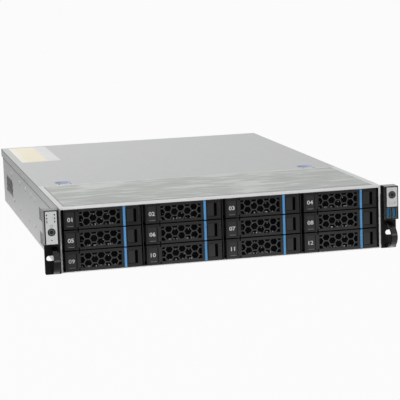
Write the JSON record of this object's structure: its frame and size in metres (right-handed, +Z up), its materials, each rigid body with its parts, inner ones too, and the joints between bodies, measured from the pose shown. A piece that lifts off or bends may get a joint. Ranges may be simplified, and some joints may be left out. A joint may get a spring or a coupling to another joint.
{
  "type": "rack server",
  "caption": "Two-unit rack server with rows of hot-swap drive carriers, honeycomb levers, rack ears with pull loops, sliding cover and rear power supplies.",
  "frame": {"origin": "centre of the chassis tray's underside", "axes": "+X right as seen from the front, +Y to the back, +Z up"},
  "size_m": [0.4826, 0.6971, 0.087],
  "materials": {
    "galvanised_sheet": "zinc-coated sheet steel, satin",
    "black_sheet": "black powder-coated sheet steel",
    "circuit_board": "glass-fibre circuit board with connectors",
    "aluminium": "extruded fins, satin",
    "black_plastic": "moulded, matte",
    "ear_black": "satin black",
    "silver_plate": "fine satin",
    "key_plastic": "moulded, semi-gloss",
    "usb_shell": "plated sheet",
    "carrier_and_drive": "matte dark moulded front and rails, cast drive body",
    "lever_plastic": "moulded, matte dark grey",
    "button_plastic": "moulded, matte grey",
    "supply_case": "folded case",
    "latch_green": "moulded, matte green"
  },
  "bodies": {
    "chassis": {"chassis_tray": "galvanised_sheet", "front_cover": "galvanised_sheet", "drive_cage": "black_sheet", "drive_backplane": "circuit_board", "fan_frames": "black_plastic", "motherboard": "circuit_board", "heat_sinks": "aluminium", "memory_modules": "circuit_board", "rear_blanking_plates": "galvanised_sheet", "left_ear": "ear_black", "right_ear": "ear_black", "control_plates": "silver_plate", "usb_ports": "usb_shell"},
    "carrier_01": {"carrier_01": "carrier_and_drive"},
    "lever_01": {"lever_01": "lever_plastic"},
    "release_button_01": {"release_button_01": "button_plastic"},
    "carrier_02": {"carrier_02": "carrier_and_drive"},
    "lever_02": {"lever_02": "lever_plastic"},
    "release_button_02": {"release_button_02": "button_plastic"},
    "carrier_03": {"carrier_03": "carrier_and_drive"},
    "lever_03": {"lever_03": "lever_plastic"},
    "release_button_03": {"release_button_03": "button_plastic"},
    "carrier_04": {"carrier_04": "carrier_and_drive"},
    "lever_04": {"lever_04": "lever_plastic"},
    "release_button_04": {"release_button_04": "button_plastic"},
    "carrier_05": {"carrier_05": "carrier_and_drive"},
    "lever_05": {"lever_05": "lever_plastic"},
    "release_button_05": {"release_button_05": "button_plastic"},
    "carrier_06": {"carrier_06": "carrier_and_drive"},
    "lever_06": {"lever_06": "lever_plastic"},
    "release_button_06": {"release_button_06": "button_plastic"},
    "carrier_07": {"carrier_07": "carrier_and_drive"},
    "lever_07": {"lever_07": "lever_plastic"},
    "release_button_07": {"release_button_07": "button_plastic"},
    "carrier_08": {"carrier_08": "carrier_and_drive"},
    "lever_08": {"lever_08": "lever_plastic"},
    "release_button_08": {"release_button_08": "button_plastic"},
    "carrier_09": {"carrier_09": "carrier_and_drive"},
    "lever_09": {"lever_09": "lever_plastic"},
    "release_button_09": {"release_button_09": "button_plastic"},
    "carrier_10": {"carrier_10": "carrier_and_drive"},
    "lever_10": {"lever_10": "lever_plastic"},
    "release_button_10": {"release_button_10": "button_plastic"},
    "carrier_11": {"carrier_11": "carrier_and_drive"},
    "lever_11": {"lever_11": "lever_plastic"},
    "release_button_11": {"release_button_11": "button_plastic"},
    "carrier_12": {"carrier_12": "carrier_and_drive"},
    "lever_12": {"lever_12": "lever_plastic"},
    "release_button_12": {"release_button_12": "button_plastic"},
    "power_button": {"power_button": "key_plastic"},
    "locator_button": {"locator_button": "key_plastic"},
    "rear_cover": {"rear_cover": "galvanised_sheet"},
    "power_supply_1": {"power_supply_1": "supply_case"},
    "supply_latch_1": {"supply_latch_1": "latch_green"},
    "power_supply_2": {"power_supply_2": "supply_case"},
    "supply_latch_2": {"supply_latch_2": "latch_green"},
    "fan_rotor_1": {"fan_rotor_1": "black_plastic"},
    "fan_rotor_2": {"fan_rotor_2": "black_plastic"},
    "fan_rotor_3": {"fan_rotor_3": "black_plastic"},
    "fan_rotor_4": {"fan_rotor_4": "black_plastic"}
  },
  "joints": [
    {"name": "carrier_01_slide", "type": "slide", "parent": "chassis", "child": "carrier_01", "axis": [0, -1, 0], "range_m": [0, 0.18]},
    {"name": "lever_01_swing", "type": "hinge", "parent": "carrier_01", "child": "lever_01", "pos_m": [-0.1974, -0.3237, 0.0701], "axis": [0, 0, -1], "range_deg": [0, 50]},
    {"name": "release_button_01_slide", "type": "slide", "parent": "carrier_01", "child": "release_button_01", "axis": [1, 0, 0], "range_m": [0, 0.003], "stiffness_N_per_m": 300},
    {"name": "carrier_02_slide", "type": "slide", "parent": "chassis", "child": "carrier_02", "axis": [0, -1, 0], "range_m": [0, 0.18]},
    {"name": "lever_02_swing", "type": "hinge", "parent": "carrier_02", "child": "lever_02", "pos_m": [-0.0887, -0.3237, 0.0701], "axis": [0, 0, -1], "range_deg": [0, 50]},
    {"name": "release_button_02_slide", "type": "slide", "parent": "carrier_02", "child": "release_button_02", "axis": [1, 0, 0], "range_m": [0, 0.003], "stiffness_N_per_m": 300},
    {"name": "carrier_03_slide", "type": "slide", "parent": "chassis", "child": "carrier_03", "axis": [0, -1, 0], "range_m": [0, 0.18]},
    {"name": "lever_03_swing", "type": "hinge", "parent": "carrier_03", "child": "lever_03", "pos_m": [0.02, -0.3237, 0.0701], "axis": [0, 0, -1], "range_deg": [0, 50]},
    {"name": "release_button_03_slide", "type": "slide", "parent": "carrier_03", "child": "release_button_03", "axis": [1, 0, 0], "range_m": [0, 0.003], "stiffness_N_per_m": 300},
    {"name": "carrier_04_slide", "type": "slide", "parent": "chassis", "child": "carrier_04", "axis": [0, -1, 0], "range_m": [0, 0.18]},
    {"name": "lever_04_swing", "type": "hinge", "parent": "carrier_04", "child": "lever_04", "pos_m": [0.1287, -0.3237, 0.0701], "axis": [0, 0, -1], "range_deg": [0, 50]},
    {"name": "release_button_04_slide", "type": "slide", "parent": "carrier_04", "child": "release_button_04", "axis": [1, 0, 0], "range_m": [0, 0.003], "stiffness_N_per_m": 300},
    {"name": "carrier_05_slide", "type": "slide", "parent": "chassis", "child": "carrier_05", "axis": [0, -1, 0], "range_m": [0, 0.18]},
    {"name": "lever_05_swing", "type": "hinge", "parent": "carrier_05", "child": "lever_05", "pos_m": [-0.1974, -0.3237, 0.0425], "axis": [0, 0, -1], "range_deg": [0, 50]},
    {"name": "release_button_05_slide", "type": "slide", "parent": "carrier_05", "child": "release_button_05", "axis": [1, 0, 0], "range_m": [0, 0.003], "stiffness_N_per_m": 300},
    {"name": "carrier_06_slide", "type": "slide", "parent": "chassis", "child": "carrier_06", "axis": [0, -1, 0], "range_m": [0, 0.18]},
    {"name": "lever_06_swing", "type": "hinge", "parent": "carrier_06", "child": "lever_06", "pos_m": [-0.0887, -0.3237, 0.0425], "axis": [0, 0, -1], "range_deg": [0, 50]},
    {"name": "release_button_06_slide", "type": "slide", "parent": "carrier_06", "child": "release_button_06", "axis": [1, 0, 0], "range_m": [0, 0.003], "stiffness_N_per_m": 300},
    {"name": "carrier_07_slide", "type": "slide", "parent": "chassis", "child": "carrier_07", "axis": [0, -1, 0], "range_m": [0, 0.18]},
    {"name": "lever_07_swing", "type": "hinge", "parent": "carrier_07", "child": "lever_07", "pos_m": [0.02, -0.3237, 0.0425], "axis": [0, 0, -1], "range_deg": [0, 50]},
    {"name": "release_button_07_slide", "type": "slide", "parent": "carrier_07", "child": "release_button_07", "axis": [1, 0, 0], "range_m": [0, 0.003], "stiffness_N_per_m": 300},
    {"name": "carrier_08_slide", "type": "slide", "parent": "chassis", "child": "carrier_08", "axis": [0, -1, 0], "range_m": [0, 0.18]},
    {"name": "lever_08_swing", "type": "hinge", "parent": "carrier_08", "child": "lever_08", "pos_m": [0.1287, -0.3237, 0.0425], "axis": [0, 0, -1], "range_deg": [0, 50]},
    {"name": "release_button_08_slide", "type": "slide", "parent": "carrier_08", "child": "release_button_08", "axis": [1, 0, 0], "range_m": [0, 0.003], "stiffness_N_per_m": 300},
    {"name": "carrier_09_slide", "type": "slide", "parent": "chassis", "child": "carrier_09", "axis": [0, -1, 0], "range_m": [0, 0.18]},
    {"name": "lever_09_swing", "type": "hinge", "parent": "carrier_09", "child": "lever_09", "pos_m": [-0.1974, -0.3237, 0.0149], "axis": [0, 0, -1], "range_deg": [0, 50]},
    {"name": "release_button_09_slide", "type": "slide", "parent": "carrier_09", "child": "release_button_09", "axis": [1, 0, 0], "range_m": [0, 0.003], "stiffness_N_per_m": 300},
    {"name": "carrier_10_slide", "type": "slide", "parent": "chassis", "child": "carrier_10", "axis": [0, -1, 0], "range_m": [0, 0.18]},
    {"name": "lever_10_swing", "type": "hinge", "parent": "carrier_10", "child": "lever_10", "pos_m": [-0.0887, -0.3237, 0.0149], "axis": [0, 0, -1], "range_deg": [0, 50]},
    {"name": "release_button_10_slide", "type": "slide", "parent": "carrier_10", "child": "release_button_10", "axis": [1, 0, 0], "range_m": [0, 0.003], "stiffness_N_per_m": 300},
    {"name": "carrier_11_slide", "type": "slide", "parent": "chassis", "child": "carrier_11", "axis": [0, -1, 0], "range_m": [0, 0.18]},
    {"name": "lever_11_swing", "type": "hinge", "parent": "carrier_11", "child": "lever_11", "pos_m": [0.02, -0.3237, 0.0149], "axis": [0, 0, -1], "range_deg": [0, 50]},
    {"name": "release_button_11_slide", "type": "slide", "parent": "carrier_11", "child": "release_button_11", "axis": [1, 0, 0], "range_m": [0, 0.003], "stiffness_N_per_m": 300},
    {"name": "carrier_12_slide", "type": "slide", "parent": "chassis", "child": "carrier_12", "axis": [0, -1, 0], "range_m": [0, 0.18]},
    {"name": "lever_12_swing", "type": "hinge", "parent": "carrier_12", "child": "lever_12", "pos_m": [0.1287, -0.3237, 0.0149], "axis": [0, 0, -1], "range_deg": [0, 50]},
    {"name": "release_button_12_slide", "type": "slide", "parent": "carrier_12", "child": "release_button_12", "axis": [1, 0, 0], "range_m": [0, 0.003], "stiffness_N_per_m": 300},
    {"name": "power_button_push", "type": "slide", "parent": "chassis", "child": "power_button", "axis": [0, 1, 0], "range_m": [0, 0.0012], "stiffness_N_per_m": 600},
    {"name": "locator_button_push", "type": "slide", "parent": "chassis", "child": "locator_button", "axis": [0, 1, 0], "range_m": [0, 0.0012], "stiffness_N_per_m": 600},
    {"name": "rear_cover_slide", "type": "slide", "parent": "chassis", "child": "rear_cover", "axis": [0, 1, 0], "range_m": [0, 0.012]},
    {"name": "power_supply_1_slide", "type": "slide", "parent": "chassis", "child": "power_supply_1", "axis": [0, 1, 0], "range_m": [0, 0.19]},
    {"name": "supply_latch_1_squeeze", "type": "hinge", "parent": "power_supply_1", "child": "supply_latch_1", "pos_m": [0.1829, 0.313, 0.0213], "axis": [0, 0, -1], "range_deg": [0, 7], "stiffness_Nm_per_rad": 0.5},
    {"name": "power_supply_2_slide", "type": "slide", "parent": "chassis", "child": "power_supply_2", "axis": [0, 1, 0], "range_m": [0, 0.19]},
    {"name": "supply_latch_2_squeeze", "type": "hinge", "parent": "power_supply_2", "child": "supply_latch_2", "pos_m": [0.1829, 0.313, 0.063], "axis": [0, 0, -1], "range_deg": [0, 7], "stiffness_Nm_per_rad": 0.5},
    {"name": "fan_1_spin", "type": "hinge", "parent": "chassis", "child": "fan_rotor_1", "pos_m": [-0.159, -0.06, 0.0413], "axis": [0, 1, 0], "continuous": true},
    {"name": "fan_2_spin", "type": "hinge", "parent": "chassis", "child": "fan_rotor_2", "pos_m": [-0.053, -0.06, 0.0413], "axis": [0, 1, 0], "continuous": true},
    {"name": "fan_3_spin", "type": "hinge", "parent": "chassis", "child": "fan_rotor_3", "pos_m": [0.053, -0.06, 0.0413], "axis": [0, 1, 0], "continuous": true},
    {"name": "fan_4_spin", "type": "hinge", "parent": "chassis", "child": "fan_rotor_4", "pos_m": [0.159, -0.06, 0.0413], "axis": [0, 1, 0], "continuous": true}
  ]
}
